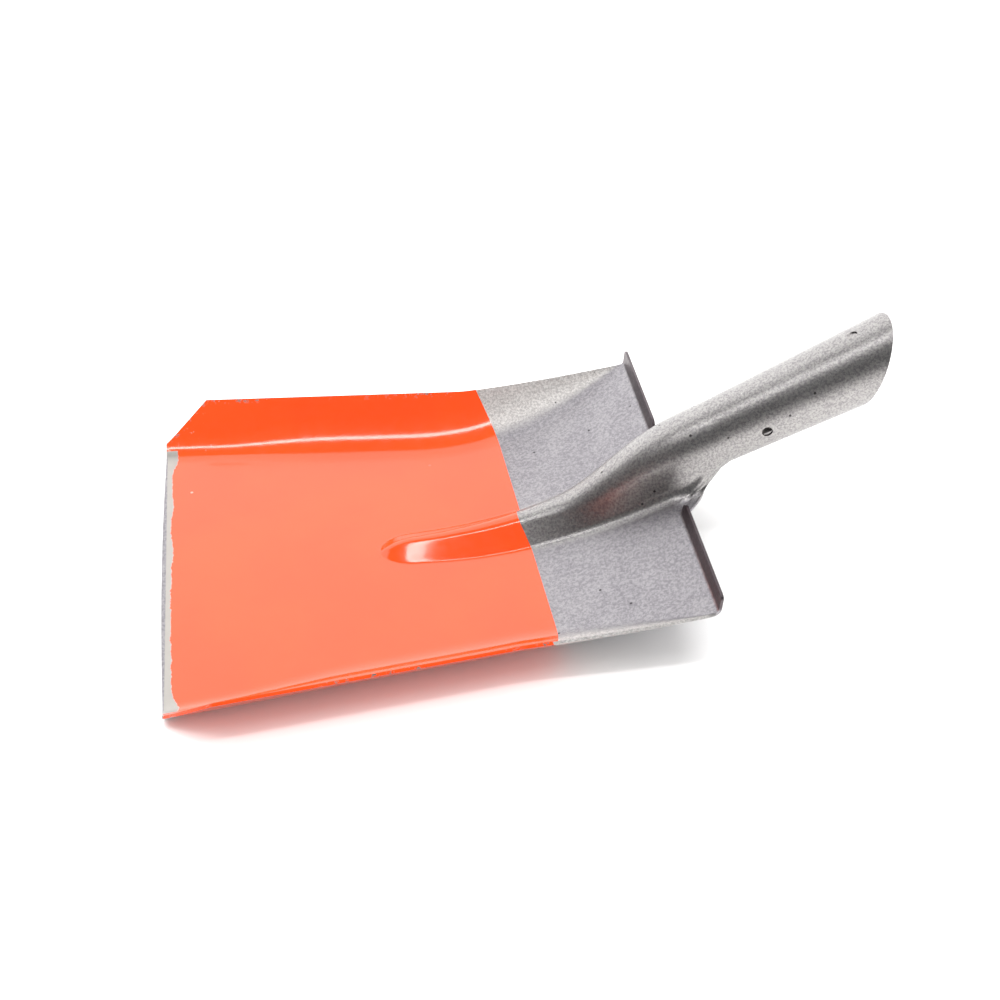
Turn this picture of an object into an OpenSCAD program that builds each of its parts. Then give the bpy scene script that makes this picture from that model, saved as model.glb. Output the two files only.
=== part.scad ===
// Grain scoop shovel head: one pressed steel sheet with a dished blade, turned-up
// side walls, a rear step, a hollow ridge and a tapered open-seam handle socket.
// Millimetres, +X from the mouth to the handle, +Y to the left, +Z up.
// The origin is under the middle of the head, on the ground it rests on.

/* [Blade] */
// Length from the cutting edge to the rear fold
blade_len = 284; // [220:1:360]
// Width across the rear corners
rear_width = 236; // [180:1:300]
// Width across the wall tops behind the clipped corners
mouth_width = 267; // [200:1:340]
// Thickness of the sheet
sheet = 1.5; // [1:0.1:3]
// Height of the wall tops above the flat floor
wall_height = 25; // [15:1:45]
// Slope of the side walls, in degrees from the floor
wall_angle = 48; // [38:1:70]
// Half width of the bend between floor and wall
bend_half = 15; // [3:0.5:18]
// Rise of the rear fold above the flat floor
rear_rise = 34; // [15:1:60]
// Where the floor begins to rise, from the cutting edge
rise_start = 150; // [90:1:220]
// Forward bow of the cutting edge
mouth_bow = 2; // [0:0.5:8]
// Length of the clipped front corner
corner_clip = 27; // [10:1:50]

/* [Step] */
// Height of the step flange above the rear fold
step_height = 10.5; // [6:0.5:20]
// Backward lean of the step flange, in degrees
step_lean = 5; // [0:1:20]
// Bend radius of the step flange
step_bend = 3; // [2:0.5:6]
// Distance of the step's inner end from the middle
step_from = 36; // [32:1:60]

/* [Ridge] */
// Where the ridge begins, from the cutting edge
nose_at = 121; // [80:1:180]
// Length over which the rounded nose rises
nose_len = 21; // [12:1:40]
// Height of the ridge just behind its nose
nose_height = 7.2; // [3:0.1:10]
// Half width of the ridge foot just behind its nose
nose_half = 14.8; // [10:0.1:24]
// Half width of the ridge foot at the rear fold
root_half = 26; // [22:0.5:32]

/* [Socket] */
// Slope of the socket above the ground, in degrees
socket_angle = 24.4; // [10:0.1:40]
// Outer radius where the socket leaves the blade
socket_root_r = 17.3; // [14:0.1:24]
// Gain in radius for each millimetre of length
socket_taper = 0.0333; // [0:0.0001:0.06]
// Height of the socket axis above the rear fold
socket_rise = 14.5; // [10:0.5:20]
// Length of the socket along its top
socket_len = 144.5; // [100:0.5:200]
// How far the end cut runs back for each millimetre downwards
end_rake = 0.81; // [0:0.01:1.2]
// Where the closed part of the socket begins
closed_from = 34; // [20:1:40]
// Half opening of the seam underneath, in degrees
seam_half = 6; // [2:1:20]
// Radius of the two fixing holes
hole_r = 3; // [2:0.25:4]
// Distance of the cross hole from the socket root
cross_hole_at = 58.5; // [40:0.5:90]
// Distance of the top hole from the socket root
top_hole_at = 121.5; // [90:0.5:135]

/* [Paint] */
// Thickness of the paint coat
coat = 0.15; // [0.1:0.05:0.4]
// Width of the bare strip along the cutting edge
bare_strip = 5; // [2:0.5:15]
// Distance of the paint edge from the cutting edge
paint_to = 203; // [160:1:240]

/* [Hidden] */
origin_x = 201.5;
rear_half = rear_width / 2;
mouth_half = mouth_width / 2;
lift = sheet + coat;
shift = [-origin_x, 0, lift];
axis_x = blade_len - 1.4;
axis_z = rear_rise + socket_rise;
end_shear = 0.18;
near = 0.02;

// ---------- the side profile of the floor and the outline of the walls ----------
function clamp01(t) = min(1, max(0, t));
function smooth(a, b, t) = let (k = clamp01((t - a) / (b - a))) k * k * (3 - 2 * k);
function span(a, b, n) = [for (i = [1:n]) a + (b - a) * i / n];
function floor_z(u) =
    let (k = max(0, (u - rise_start) / (blade_len - rise_start))) rear_rise * k * k;
function top_z(u) = wall_height + (rear_rise - wall_height) * pow(clamp01((u - 175) / (blade_len - 175)), 1.6);
function wide_y(u) = rear_half - 1 + smooth(190, blade_len, u)
    + (mouth_half - rear_half + 1) * max(0, (185 - u) / (185 - corner_clip));
function top_y(u) = u < corner_clip
    ? rear_half + (mouth_half - rear_half) * u / corner_clip
    : wide_y(u);
function bend_m(u) =
    bend_half * (0.6 + 0.4 * smooth(30, 100, u)) * max(0.08, clamp01((top_z(u) - floor_z(u)) / 17.5));
function bend_y(u) = wide_y(u) - (top_z(u) - floor_z(u)) / tan(wall_angle);
function foot_of_bend(u) = bend_y(u) - bend_m(u);
function wall_rise(u, y) =
    let (d = y - bend_y(u), m = bend_m(u))
    tan(wall_angle) * (d < -m ? 0 : d > m ? d : (d + m) * (d + m) / (4 * m));

// ---------- the ridge section: top arc, flank, foot fillet, then flat ----------
function nose_part(u) = clamp01((nose_at + nose_len - u) / nose_len);
function ridge_h(u) =
    nose_height * (1 - pow(nose_part(u), 2))
    + 0.085 * max(0, u - nose_at - nose_len) + 12.23 * smooth(222, 280, u);
function ridge_half(u) =
    nose_half * sqrt(max(0, 1 - pow(nose_part(u), 2)))
    + (root_half - nose_half) * max(0, u - nose_at - nose_len) / (blade_len - nose_at - nose_len);
function ridge_r(u) = 5 + (socket_root_r + 0.15 - 5) * pow(clamp01((u - nose_at) / (blade_len - nose_at)), 1.5);
function grid_half(u) = max(ridge_half(u) + 0.5, 9);
function foot_r(u) = 4 + 3 * smooth(170, 235, u);
q_top = 0.4;
q_flank = 0.6;
q_foot = 0.93;
function flank_angle(u) =
    let (b = ridge_half(u), h = ridge_h(u), q = ridge_r(u) + foot_r(u))
    atan2(h - q, b) + asin(min(1, q / norm([b, h - q])));
// [y, height above the floor] at q from 0 (crest) to 1 (beside the foot)
function ridge_yz(u, q) =
    u <= nose_at + 0.01 ? [grid_half(u) * q, 0] :
    let (a = flank_angle(u), r = ridge_r(u), h = ridge_h(u), b = ridge_half(u), f = foot_r(u),
         t1 = [r * sin(a), h - r * (1 - cos(a))],
         t2 = [b - f * sin(a), f * (1 - cos(a))])
    q <= q_top ? let (g = a * q / q_top) [r * sin(g), h - r * (1 - cos(g))] :
    q <= q_flank ? t1 + (t2 - t1) * (q - q_top) / (q_flank - q_top) :
    q <= q_foot ? let (g = a * (q_foot - q) / (q_foot - q_flank)) [b - f * sin(g), f * (1 - cos(g))] :
    [b + (grid_half(u) - b) * (q - q_foot) / (1 - q_foot), 0];

// ---------- one surface for the whole blade ----------
// w runs 0 crest, 1 ridge foot, 2 foot of the wall bend, 3 wall top
function plain_yz(u, w) =
    w <= 1 ? ridge_yz(u, w) + [0, floor_z(u)] :
    w <= 2 ? [grid_half(u) + (foot_of_bend(u) - grid_half(u)) * (w - 1), floor_z(u)] :
    let (a = foot_of_bend(u), y = a + (top_y(u) - a) * (w - 2)) [y, floor_z(u) + wall_rise(u, y)];
function tilt_at(w) = 196.1 - 0.439 * (plain_yz(paint_to, w)[1] - wall_height) - paint_to;
function warp(u, w) =
    u + tilt_at(w) * (u < paint_to ? max(0, (u - nose_at - 2) / (paint_to - nose_at - 2))
                                   : (blade_len - u) / (blade_len - paint_to));
function surf(u, w, side) =
    let (v = warp(u, w), p = plain_yz(v, w),
         bow = mouth_bow * max(0, 1 - u / 45) * (1 - pow(min(1, p[0] / rear_half), 2)),
         lean = w < 1 ? end_shear * pow(clamp01((v - 200) / (blade_len - 200)), 1) * (p[1] - floor_z(v)) : 0)
    [v - bow - lean, side * p[0], p[1]];
function unit(v) = v / norm(v);
function normal(u, w, side) =
    let (e = near, ua = max(0, u - e), ub = min(blade_len, u + e),
         wa = w < 1e-6 ? 0 : w - min(e, w), wb = min(3, w + e),
         du = surf(ub, w, side) - surf(ua, w, side),
         dw = w < 1e-6 ? [0, 1, 0] : side * (surf(u, wb, side) - surf(u, wa, side)))
    unit(cross(du, dw));
function at_depth(u, w, side, d) = surf(u, w, side) - d * normal(u, w, side) + shift;

// ---------- closed shells from two grids of points ----------
function flat(l) = [for (a = l) each a];
// outer and inner are (n+1) x (m+1) grids; flip when the grid is left-handed
module shell(outer, inner, flip = false) {
    n = len(outer) - 1;
    m = len(outer[0]) - 1;
    k = (n + 1) * (m + 1);
    function id(i, j) = i * (m + 1) + j;
    up = [for (i = [0:n - 1], j = [0:m - 1]) each
          [[id(i, j), id(i, j + 1), id(i + 1, j + 1)], [id(i, j), id(i + 1, j + 1), id(i + 1, j)]]];
    down = [for (f = up) [k + f[0], k + f[2], k + f[1]]];
    ends = [for (j = [0:m - 1]) each
            [[id(0, j), k + id(0, j), k + id(0, j + 1)], [id(0, j), k + id(0, j + 1), id(0, j + 1)],
             [id(n, j + 1), k + id(n, j + 1), k + id(n, j)], [id(n, j + 1), k + id(n, j), id(n, j)]]];
    sides = [for (i = [0:n - 1]) each
             [[id(i + 1, 0), k + id(i + 1, 0), k + id(i, 0)], [id(i + 1, 0), k + id(i, 0), id(i, 0)],
              [id(i, m), k + id(i, m), k + id(i + 1, m)], [id(i, m), k + id(i + 1, m), id(i + 1, m)]]];
    all = concat(up, down, ends, sides);
    polyhedron(points = concat(flat(outer), flat(inner)),
               faces = flip ? [for (f = all) [f[0], f[2], f[1]]] : all, convexity = 12);
}

rows_front = concat([0, bare_strip], span(bare_strip, corner_clip, 2), span(corner_clip, nose_at, 5));
rows_nose = span(nose_at, nose_at + nose_len, 5);
rows_mid = span(nose_at + nose_len, paint_to, 5);
rows_rear = span(paint_to, blade_len, 11);
rows = concat(rows_front, rows_nose, rows_mid, rows_rear);
nose_row = len(rows_front) - 1;
paint_row = nose_row + 10;
last_row = len(rows) - 1;
cols_ridge = concat([0], span(0, q_top, 4), span(q_top, q_flank, 2), span(q_flank, q_foot, 4), [1]);
cols_floor = [for (w = span(1, 2, 3)) w];
cols_wall = [for (w = span(2, 3, 6)) w];
half_cols = concat(cols_ridge, cols_floor, cols_wall);

function grid(ra, rb, cols, side, d) =
    [for (i = [ra:rb]) [for (w = cols) at_depth(rows[i], w, side, d)]];
// signed columns run from the right side to the left
function signed(cols) = concat([for (i = [len(cols) - 1:-1:1]) -cols[i]], cols);
function wide(ra, rb, cols, d) =
    [for (i = [ra:rb]) [for (w = signed(cols)) at_depth(rows[i], abs(w), w < 0 ? -1 : 1, d)]];

module steel() color([0.66, 0.65, 0.67]) children();
module orange() color([0.93, 0.32, 0.12]) children();

// ---------- the flat of the blade, in front of and beside the ridge ----------
module floor_pan() {
    n = last_row;
    sc = signed(concat(cols_ridge, cols_floor));
    m = len(sc) - 1;
    c0 = len(cols_floor);
    c1 = m - len(cols_floor);
    k = (n + 1) * (m + 1);
    function id(i, j) = i * (m + 1) + j;
    function there(i, j) = i >= 0 && i < n && j >= 0 && j < m && (i < nose_row || j < c0 || j >= c1);
    function p(d) = [for (i = [0:n], w = sc) at_depth(rows[i], abs(w), w < 0 ? -1 : 1, d)];
    function wall(a, b) = [[a, k + a, k + b], [a, k + b, b]];
    up = [for (i = [0:n - 1], j = [0:m - 1]) if (there(i, j)) each
          [[id(i, j), id(i, j + 1), id(i + 1, j + 1)], [id(i, j), id(i + 1, j + 1), id(i + 1, j)]]];
    down = [for (f = up) [k + f[0], k + f[2], k + f[1]]];
    rim = [for (i = [0:n - 1], j = [0:m - 1]) if (there(i, j)) each concat(
           there(i - 1, j) ? [] : wall(id(i, j), id(i, j + 1)),
           there(i + 1, j) ? [] : wall(id(i + 1, j + 1), id(i + 1, j)),
           there(i, j - 1) ? [] : wall(id(i + 1, j), id(i, j)),
           there(i, j + 1) ? [] : wall(id(i, j + 1), id(i + 1, j + 1)))];
    steel() polyhedron(points = concat(p(0), p(sheet)), faces = concat(up, down, rim), convexity = 12);
}

// ---------- the hollow ridge pressed up from the floor ----------
module frog_ridge() {
    steel() shell(wide(nose_row, last_row, cols_ridge, 0), wide(nose_row, last_row, cols_ridge, sheet));
}

// ---------- the side walls, turned up along a curved bend ----------
module wall_half() {
    c = concat([2], cols_wall);
    steel() shell(grid(0, last_row, c, 1, 0), grid(0, last_row, c, 1, sheet));
}
module side_wall_left() wall_half();
module side_wall_right() mirror([0, 1, 0]) wall_half();

// ---------- the step: the rear edge turned up on each side of the socket ----------
floor_tilt = atan(2 * rear_rise / (blade_len - rise_start));
step_turn = 90 - step_lean - floor_tilt;
function rounded(t, r) = r * (1 - sqrt(max(0, 1 - pow(clamp01(t / r), 2))));
step_inner_r = 7;
step_outer_r = 2.5;
function step_rise(y) = step_height - rounded(y - rear_half + step_outer_r, step_outer_r)
    - rounded(step_from + step_inner_r - y, step_inner_r);
function step_pt(y, v, d) =
    let (r = step_bend, up = step_rise(y) - r * (cos(floor_tilt) - cos(90 - step_lean)),
         g = floor_tilt + step_turn * min(1, v / 0.6),
         cx = blade_len - r * sin(floor_tilt), cz = rear_rise + r * cos(floor_tilt),
         s = v > 0.6 ? up / cos(step_lean) * (v - 0.6) / 0.4 : 0)
    shift + [cx + (r + d) * sin(g) + s * cos(g), y, cz - (r + d) * cos(g) + s * sin(g)];
module step_half() {
    ys = concat([step_from], span(step_from, step_from + step_inner_r, 6),
                span(step_from + step_inner_r, rear_half - step_outer_r, 3),
                span(rear_half - step_outer_r, rear_half - 0.2, 4));
    vs = concat([0], span(0, 0.6, 5), [1]);
    steel() shell([for (v = vs) [for (y = ys) step_pt(y, v, 0)]],
                  [for (v = vs) [for (y = ys) step_pt(y, v, sheet)]]);
}
module step_left() step_half();
module step_right() mirror([0, 1, 0]) step_half();

// ---------- the socket ----------
axis_dir = [cos(socket_angle), 0, sin(socket_angle)];
up_dir = [-sin(socket_angle), 0, cos(socket_angle)];
axis_pt = shift + [axis_x, 0, axis_z];
function socket_r(s) = socket_root_r + socket_taper * s;
// a point on the socket at distance s, angle g from the top, depth d under its skin
function tube_pt(s, g, d) =
    axis_pt + s * axis_dir + (socket_r(s) - d) * (cos(g) * up_dir + sin(g) * [0, 1, 0]);
split_angle = flank_angle(blade_len);

module on_axis() translate(axis_pt) rotate([0, 90 - socket_angle, 0]) children();
module cone_between(a, b, d) translate([0, 0, a])
    cylinder(h = b - a, r1 = socket_r(a) - d, r2 = socket_r(b) - d, $fn = 96);
// where the slanted end crosses the axis
end_at = socket_len - end_rake * socket_r(socket_len) - 1.2;
module socket_shell() {
    difference() {
        on_axis() difference() {
            cone_between(-14, 170, 0);
            cone_between(-15, 171, sheet);
        }
        // the slanted end
        on_axis() rotate([90, 0, 0]) translate([0, 0, -60]) linear_extrude(120)
            polygon([[-60, end_at + 60 * end_rake], [60, end_at - 60 * end_rake], [60, 200], [-60, 200]]);
        // the seam underneath
        on_axis() translate([0, 0, -20]) linear_extrude(260)
            polygon([[0, 0], [60 * cos(seam_half), 60 * sin(seam_half)], [60 * cos(seam_half), -60 * sin(seam_half)]]);
        // where the ridge takes over, in front
        translate(shift + [blade_len, 0, rear_rise]) rotate([0, -atan(end_shear), 0])
            translate([-100, -50, -100]) cube([100, 100, 200]);
        // the cross hole and the top hole
        on_axis() translate([0, 0, cross_hole_at]) rotate([90, 0, 0]) translate([0, 0, -40])
            cylinder(h = 80, r = hole_r, $fn = 48);
        on_axis() translate([0, 0, top_hole_at]) rotate([0, -90, 0]) cylinder(h = 40, r = hole_r, $fn = 48);
    }
}
// the part of the socket that is curled round one side, behind the knuckle
wing_angle = 70;
module wing_zone() on_axis() translate([0, 0, closed_from]) linear_extrude(200)
    polygon([[0, 0], [-60 * cos(wing_angle), 60 * sin(wing_angle)], [60, 60], [60, 0]]);
// the part below the ridge's flanks, where the knuckles take over
module knuckle_zone() on_axis() translate([0, 0, -30]) linear_extrude(32 + closed_from)
    polygon([[0, 0], [-60 * cos(split_angle), 60 * sin(split_angle)], [60, 60], [60, -60],
             [-60 * cos(split_angle), -60 * sin(split_angle)]]);
// the roof of the socket, in one piece with the crest of the ridge
module socket_top() {
    steel() difference() {
        socket_shell();
        wing_zone();
        mirror([0, 1, 0]) wing_zone();
        knuckle_zone();
    }
}
module socket_wing_left() steel() intersection() { socket_shell(); wing_zone(); }
module socket_wing_right() steel() intersection() { socket_shell(); mirror([0, 1, 0]) wing_zone(); }

// ---------- the knuckles: the sheet curling from the step down under the socket ----------
knuckle_rows = 9;
function herm(a, b, ta, tb, t) =
    a * (2 * t * t * t - 3 * t * t + 1) + b * (3 * t * t - 2 * t * t * t)
    + ta * (t * t * t - 2 * t * t + t) + tb * (t * t * t - t * t);
// the root runs down the ridge's flank, then along the rear edge to the step
lip_at = 0.7;
function root_w(v) = v < lip_at ? q_top + (1 - q_top) * v / lip_at
    : 1 + (step_from - grid_half(blade_len)) / (foot_of_bend(blade_len) - grid_half(blade_len))
        * (v - lip_at) / (1 - lip_at);
function root_pt(v, d) = at_depth(blade_len, root_w(v), 1, d);
function collar_pt(v, d) = tube_pt(closed_from, split_angle + (180 - seam_half - split_angle) * v, d);
function leave(v) = let (k = smooth(0.15, 1, v))
    (1 - k) * (collar_pt(0, 0) - root_pt(0, 0)) + k * [30, 6, -4];
function arrive(v) = let (k = smooth(0, 1, v))
    (1 - k) * (collar_pt(0, 0) - root_pt(0, 0)) + k * 24 * axis_dir;
function knuckle_pt(t, v) = herm(root_pt(v, 0), collar_pt(v, 0), leave(v), arrive(v), t);
function knuckle_in(t, v) =
    t < 1e-6 ? root_pt(v, sheet) :
    t > 1 - 1e-6 ? collar_pt(v, sheet) :
    v < 1e-6 ? root_pt(0, sheet) + (collar_pt(0, sheet) - root_pt(0, sheet)) * t :
    let (e = 0.02, du = knuckle_pt(t + e, v) - knuckle_pt(t - e, v),
         dv = knuckle_pt(t, min(1, v + e)) - knuckle_pt(t, v - e))
    knuckle_pt(t, v) - sheet * unit(cross(du, dv));
module knuckle_half() {
    ts = [for (i = [0:knuckle_rows]) i / knuckle_rows];
    qs = concat([q_top], span(q_top, q_flank, 2), span(q_flank, q_foot, 4), [1]);
    vs = concat([for (q = qs) lip_at * (q - q_top) / (1 - q_top)], span(lip_at, 1, 3));
    steel() shell([for (t = ts) [for (v = vs) knuckle_pt(t, v)]],
                  [for (t = ts) [for (v = vs) knuckle_in(t, v)]]);
}
module knuckle_left() knuckle_half();
module knuckle_right() mirror([0, 1, 0]) knuckle_half();

// ---------- the paint, above and below ----------
module paint_top() {
    orange() shell(wide(1, paint_row, half_cols, -coat), wide(1, paint_row, half_cols, 0));
}
module paint_under() {
    orange() shell(wide(1, paint_row, half_cols, sheet), wide(1, paint_row, half_cols, sheet + coat));
}

floor_pan();
side_wall_left();
side_wall_right();
frog_ridge();
step_left();
step_right();
knuckle_left();
knuckle_right();
socket_top();
socket_wing_left();
socket_wing_right();
paint_top();
paint_under();
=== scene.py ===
"""Looks of a grain scoop shovel head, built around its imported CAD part.

The head is one pressed steel sheet: a dished blade with turned-up walls, a step along the
rear edge, a hollow ridge, and a tab that is rolled into a tapered handle socket.  A dipped
coat of orange paint covers the front two thirds of the blade, above and below.
"""
import logging
import math
from collections.abc import Callable
from dataclasses import dataclass, field
from enum import Enum

import bpy
from mathutils import Euler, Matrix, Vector


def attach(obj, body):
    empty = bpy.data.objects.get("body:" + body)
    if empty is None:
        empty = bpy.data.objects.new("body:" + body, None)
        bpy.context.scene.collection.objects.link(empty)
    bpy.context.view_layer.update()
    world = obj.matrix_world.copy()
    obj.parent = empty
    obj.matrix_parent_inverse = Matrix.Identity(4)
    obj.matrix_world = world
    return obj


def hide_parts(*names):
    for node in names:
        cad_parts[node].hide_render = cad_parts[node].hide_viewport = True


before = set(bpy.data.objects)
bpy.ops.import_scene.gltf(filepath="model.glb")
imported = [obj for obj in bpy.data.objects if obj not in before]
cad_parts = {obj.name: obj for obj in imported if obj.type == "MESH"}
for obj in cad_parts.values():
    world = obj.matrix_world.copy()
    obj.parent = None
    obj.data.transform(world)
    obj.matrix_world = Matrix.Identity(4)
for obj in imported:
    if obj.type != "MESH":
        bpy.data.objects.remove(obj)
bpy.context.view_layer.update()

LOG = logging.getLogger("shovel_head")
MM = 0.001
Colour = tuple[float, float, float]
Place = Callable[[int, int], Vector]
Socket = bpy.types.NodeSocket


class Slot(Enum):
    """Material slots of the record that the pieces take their finish from."""

    STEEL = "bare_steel"
    PAINT = "orange_paint"


# ------------------------------------------------------------------ small helpers


def clamp01(value: float) -> float:
    """Keep a value between 0 and 1."""
    return min(1.0, max(0.0, value))


def smooth(start: float, end: float, value: float) -> float:
    """Ease from 0 at start to 1 at end.

    Args:
        start: Value at which the ease begins.
        end: Value at which it is complete.
        value: Where it is read.

    Returns:
        A number from 0 to 1.
    """
    k = clamp01((value - start) / (end - start))
    return k * k * (3 - 2 * k)


def span(start: float, end: float, count: int) -> list[float]:
    """Return count values after start, evenly spaced up to and including end."""
    return [start + (end - start) * i / count for i in range(1, count + 1)]


def rounded(past: float, radius: float) -> float:
    """Depth by which a rounded corner is cut back, past the start of its curve."""
    return radius * (1 - math.sqrt(max(0.0, 1 - clamp01(past / radius) ** 2)))


def mix(a: Vector, b: Vector, share: float) -> Vector:
    """Return the point that lies the given share of the way from a to b."""
    return a + (b - a) * share


def hermite(a: Vector, b: Vector, leave: Vector, arrive: Vector, t: float) -> Vector:
    """Give a point on a cubic between two points.

    Args:
        a: Start of the cubic.
        b: End of the cubic.
        leave: Tangent at the start.
        arrive: Tangent at the end.
        t: Place on the cubic, from 0 to 1.

    Returns:
        The point.
    """
    t2, t3 = t * t, t * t * t
    return (a * (2 * t3 - 3 * t2 + 1) + b * (3 * t2 - 2 * t3)
            + leave * (t3 - 2 * t2 + t) + arrive * (t3 - t2))


def only_select(*objects: bpy.types.Object) -> None:
    """Select some objects and nothing else.

    Args:
        *objects: The objects, the one to be active first.
    """
    bpy.ops.object.select_all(action="DESELECT")
    for thing in objects:
        thing.select_set(True)
    bpy.context.view_layer.objects.active = objects[0]


def apply_modifier(thing: bpy.types.Object, modifier: bpy.types.Modifier) -> None:
    """Apply one modifier to the mesh that carries it."""
    only_select(thing)
    bpy.ops.object.modifier_apply(modifier=modifier.name)


def settle(thing: bpy.types.Object) -> None:
    """Put a piece's place, turn and size into its mesh."""
    only_select(thing)
    bpy.ops.object.transform_apply(location=True, rotation=True, scale=True)


def remove(thing: bpy.types.Object) -> None:
    """Delete a helper object."""
    bpy.data.objects.remove(thing, do_unlink=True)


def pressed_grid(name: str, rows: int, cols: int, place: Place) -> bpy.types.Object:
    """Add a flat grid and press it to shape.

    Args:
        name: Name of the new object.
        rows: Number of cells along the grid's X.
        cols: Number of cells along the grid's Y.
        place: Function of (row, column) that gives a point in metres.

    Returns:
        The pressed, open sheet.
    """
    bpy.ops.object.select_all(action="DESELECT")
    bpy.ops.mesh.primitive_grid_add(x_subdivisions=rows, y_subdivisions=cols, size=1)
    sheet = bpy.context.object
    sheet.name = name
    for vertex in sheet.data.vertices:
        row = round((vertex.co.x + 0.5) * rows)
        col = round((vertex.co.y + 0.5) * cols)
        vertex.co = place(row, col)
    return sheet


# ------------------------------------------------------------------ the pressed form


@dataclass(frozen=True)
class Form:
    """The driving sizes of the head, in millimetres and degrees, and its surface.

    u runs from the cutting edge to the rear fold, and w from the crest of the ridge (0)
    over its foot (1) and the foot of the wall bend (2) to the wall top (3).
    """

    blade_len: float = 284.0
    rear_half: float = 118.0
    mouth_half: float = 133.5
    sheet: float = 1.5
    coat: float = 0.15
    wall_height: float = 25.0
    wall_angle: float = 48.0
    wall_rise_from: float = 175.0
    wall_rise_power: float = 1.6
    flare_to: float = 185.0
    rear_flare: float = 1.0
    rear_flare_from: float = 190.0
    bend_half: float = 15.0
    bend_tight: float = 0.6
    bend_ease: tuple[float, float] = (30.0, 100.0)
    bend_least: float = 0.08
    bend_room: float = 17.5
    rear_rise: float = 34.0
    rise_start: float = 150.0
    mouth_bow: float = 2.0
    mouth_bow_len: float = 45.0
    corner_clip: float = 27.0
    step_height: float = 10.5
    step_lean: float = 5.0
    step_bend: float = 3.0
    step_from: float = 36.0
    step_inner_r: float = 7.0
    step_outer_r: float = 2.5
    nose_at: float = 121.0
    nose_len: float = 21.0
    nose_height: float = 7.2
    nose_half: float = 14.8
    nose_r: float = 5.0
    rear_r_past: float = 0.15
    crest_slope: float = 0.085
    crest_lift: float = 12.23
    crest_lift_span: tuple[float, float] = (222.0, 280.0)
    foot_r_least: float = 4.0
    foot_r_more: float = 3.0
    foot_r_span: tuple[float, float] = (170.0, 235.0)
    root_half: float = 26.0
    grid_least: float = 9.0
    grid_past: float = 0.5
    socket_angle: float = 24.4
    socket_root_r: float = 17.3
    socket_taper: float = 0.0333
    socket_rise: float = 14.5
    socket_len: float = 144.5
    end_rake: float = 0.81
    closed_from: float = 34.0
    lip_at: float = 0.7
    seam_half: float = 6.0
    hole_r: float = 3.0
    cross_hole_at: float = 58.5
    top_hole_at: float = 121.5
    end_shear: float = 0.18
    end_shear_from: float = 200.0
    origin_x: float = 201.5
    q_top: float = 0.4
    q_flank: float = 0.6
    q_foot: float = 0.93

    @property
    def shift(self) -> Vector:
        """Offset from the sheet's own measures to the frame of the part."""
        return Vector((-self.origin_x, 0.0, self.sheet + self.coat))

    @property
    def axis_dir(self) -> Vector:
        """Direction of the socket's axis."""
        turn = math.radians(self.socket_angle)
        return Vector((math.cos(turn), 0.0, math.sin(turn)))

    @property
    def up_dir(self) -> Vector:
        """Direction square to the socket's axis, towards its top."""
        turn = math.radians(self.socket_angle)
        return Vector((-math.sin(turn), 0.0, math.cos(turn)))

    @property
    def axis_point(self) -> Vector:
        """Where the socket's axis crosses the rear fold."""
        return self.shift + Vector((self.blade_len - 1.4, 0.0, self.rear_rise + self.socket_rise))

    def floor_z(self, u: float) -> float:
        """Height of the floor at u."""
        k = max(0.0, (u - self.rise_start) / (self.blade_len - self.rise_start))
        return self.rear_rise * k * k

    def top_z(self, u: float) -> float:
        """Height of the wall tops at u."""
        start = self.wall_rise_from
        k = clamp01((u - start) / (self.blade_len - start)) ** self.wall_rise_power
        return self.wall_height + (self.rear_rise - self.wall_height) * k

    def wide_y(self, u: float) -> float:
        """Give the half width over the wall tops, without the clipped corners.

        Args:
            u: Distance from the cutting edge.

        Returns:
            The half width.
        """
        flare = max(0.0, (self.flare_to - u) / (self.flare_to - self.corner_clip))
        waist = self.rear_half - self.rear_flare
        return (waist + self.rear_flare * smooth(self.rear_flare_from, self.blade_len, u)
                + (self.mouth_half - waist) * flare)

    def top_y(self, u: float) -> float:
        """Half width of the sheet at u."""
        if u < self.corner_clip:
            return self.rear_half + (self.mouth_half - self.rear_half) * u / self.corner_clip
        return self.wide_y(u)

    def bend_m(self, u: float) -> float:
        """Half width of the wall's bend at u."""
        room = clamp01((self.top_z(u) - self.floor_z(u)) / self.bend_room)
        ease = self.bend_tight + (1 - self.bend_tight) * smooth(*self.bend_ease, u)
        return self.bend_half * ease * max(self.bend_least, room)

    @property
    def wall_slope(self) -> float:
        """Gradient of the walls."""
        return math.tan(math.radians(self.wall_angle))

    def bend_y(self, u: float) -> float:
        """Where the wall's slope would meet the floor at u."""
        return self.wide_y(u) - (self.top_z(u) - self.floor_z(u)) / self.wall_slope

    def wall_rise(self, u: float, y: float) -> float:
        """Give the height of the wall above the floor.

        Args:
            u: Distance from the cutting edge.
            y: Distance from the middle.

        Returns:
            The height.
        """
        d, m = y - self.bend_y(u), self.bend_m(u)
        if d < -m:
            return 0.0
        return self.wall_slope * (d if d > m else (d + m) ** 2 / (4 * m))

    def nose_part(self, u: float) -> float:
        """How far u still is from the full section of the ridge, from 1 to 0."""
        return clamp01((self.nose_at + self.nose_len - u) / self.nose_len)

    def ridge_h(self, u: float) -> float:
        """Height of the crest above the floor at u."""
        return (self.nose_height * (1 - self.nose_part(u) ** 2)
                + self.crest_slope * max(0.0, u - self.nose_at - self.nose_len)
                + self.crest_lift * smooth(*self.crest_lift_span, u))

    def ridge_half(self, u: float) -> float:
        """Give the half width of the ridge's foot.

        Args:
            u: Distance from the cutting edge.

        Returns:
            The half width.
        """
        along = max(0.0, u - self.nose_at - self.nose_len)
        return (self.nose_half * math.sqrt(max(0.0, 1 - self.nose_part(u) ** 2))
                + (self.root_half - self.nose_half) * along
                / (self.blade_len - self.nose_at - self.nose_len))

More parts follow.
